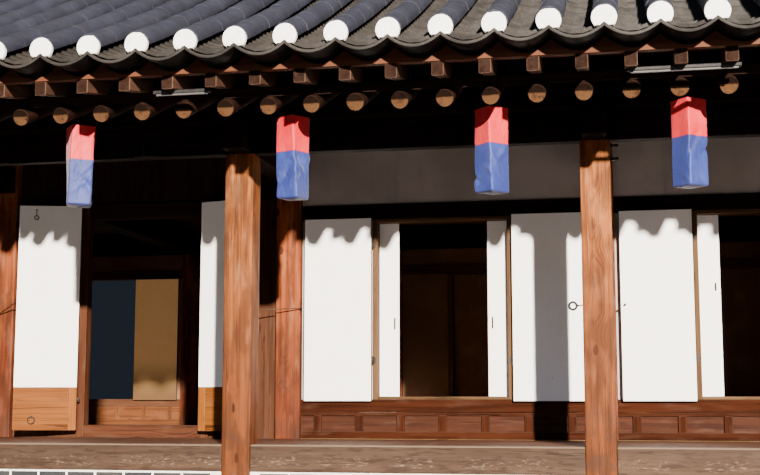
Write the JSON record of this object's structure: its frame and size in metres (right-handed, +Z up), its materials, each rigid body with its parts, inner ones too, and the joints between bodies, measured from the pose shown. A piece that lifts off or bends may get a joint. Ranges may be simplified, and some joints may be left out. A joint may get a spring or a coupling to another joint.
{
  "type": "hanok house",
  "caption": "Traditional Korean tiled timber house with a front veranda, paper windows folded open, a hall with two hinged doors, double eaves and square silk lanterns.",
  "frame": {"origin": "on the ground under the middle of the house", "axes": "+X along the front to the right, +Y from the front into the house, +Z up"},
  "size_m": [12.78, 10.01, 6.385],
  "materials": {
    "timber": "old brown pine, oiled",
    "dark_timber": "old dark pine in the shade of the eaves",
    "weathered_timber": "grey weathered boards",
    "plaster": "matte lime plaster",
    "paper": "matte mulberry paper on a wooden frame",
    "roof_tile": "matte grey-black fired clay",
    "masonry": "grey brick with white joints",
    "silk": "thin dyed cloth, red over blue"
  },
  "bodies": {
    "house": {"base_masonry": "masonry", "ceiling": "timber", "cross_beam_1": "dark_timber", "cross_beam_2": "dark_timber", "cross_beam_3": "dark_timber", "cross_beam_4": "dark_timber", "cross_beam_5": "dark_timber", "door_frame": "timber", "front_pillar_1": "timber", "front_pillar_2": "timber", "front_pillar_3": "timber", "front_pillar_4": "timber", "front_pillar_5": "timber", "front_purlin": "dark_timber", "front_rafters": "dark_timber", "front_roof": "roof_tile", "hall_partition": "plaster", "hall_wall_left": "timber", "hall_wall_right": "timber", "hall_wall_top": "dark_timber", "inner_pillar_1": "timber", "inner_pillar_2": "timber", "inner_pillar_3": "timber", "inner_pillar_4": "timber", "inner_pillar_5": "timber", "lantern_1": "silk", "lantern_2": "silk", "lantern_3": "silk", "lantern_4": "silk", "lantern_5": "silk", "lantern_6": "silk", "left_gable_board": "dark_timber", "left_side_wall": "plaster", "main_ridge": "roof_tile", "mid_purlin": "dark_timber", "rear_purlin": "dark_timber", "rear_rafters": "dark_timber", "rear_roof": "roof_tile", "rear_wall_1": "plaster", "rear_wall_2": "plaster", "rear_wall_3": "plaster", "rear_wall_4": "plaster", "right_gable_board": "dark_timber", "right_side_wall": "plaster", "roof_frame": "plaster", "room_floor": "timber", "room_wall_1": "plaster", "room_wall_2": "plaster", "shut_hall_front": "timber", "veranda_floor": "weathered_timber", "window_frame_1": "timber", "window_frame_2": "timber", "window_leaf_1_left": "paper", "window_leaf_1_right": "paper", "window_leaf_2_left": "paper", "window_leaf_2_right": "paper"},
    "left_door": {"door_leaf_left": "paper"},
    "right_door": {"door_leaf_right": "paper"}
  },
  "joints": [
    {"name": "left_door_hinge", "type": "hinge", "parent": "house", "child": "left_door", "pos_m": [-1.92, -1.901, 1.6], "axis": [0, 0, 1], "range_deg": [-12, 165]},
    {"name": "right_door_hinge", "type": "hinge", "parent": "house", "child": "right_door", "pos_m": [-0.78, -1.901, 1.6], "axis": [0, 0, 1], "range_deg": [-165, 12]}
  ]
}
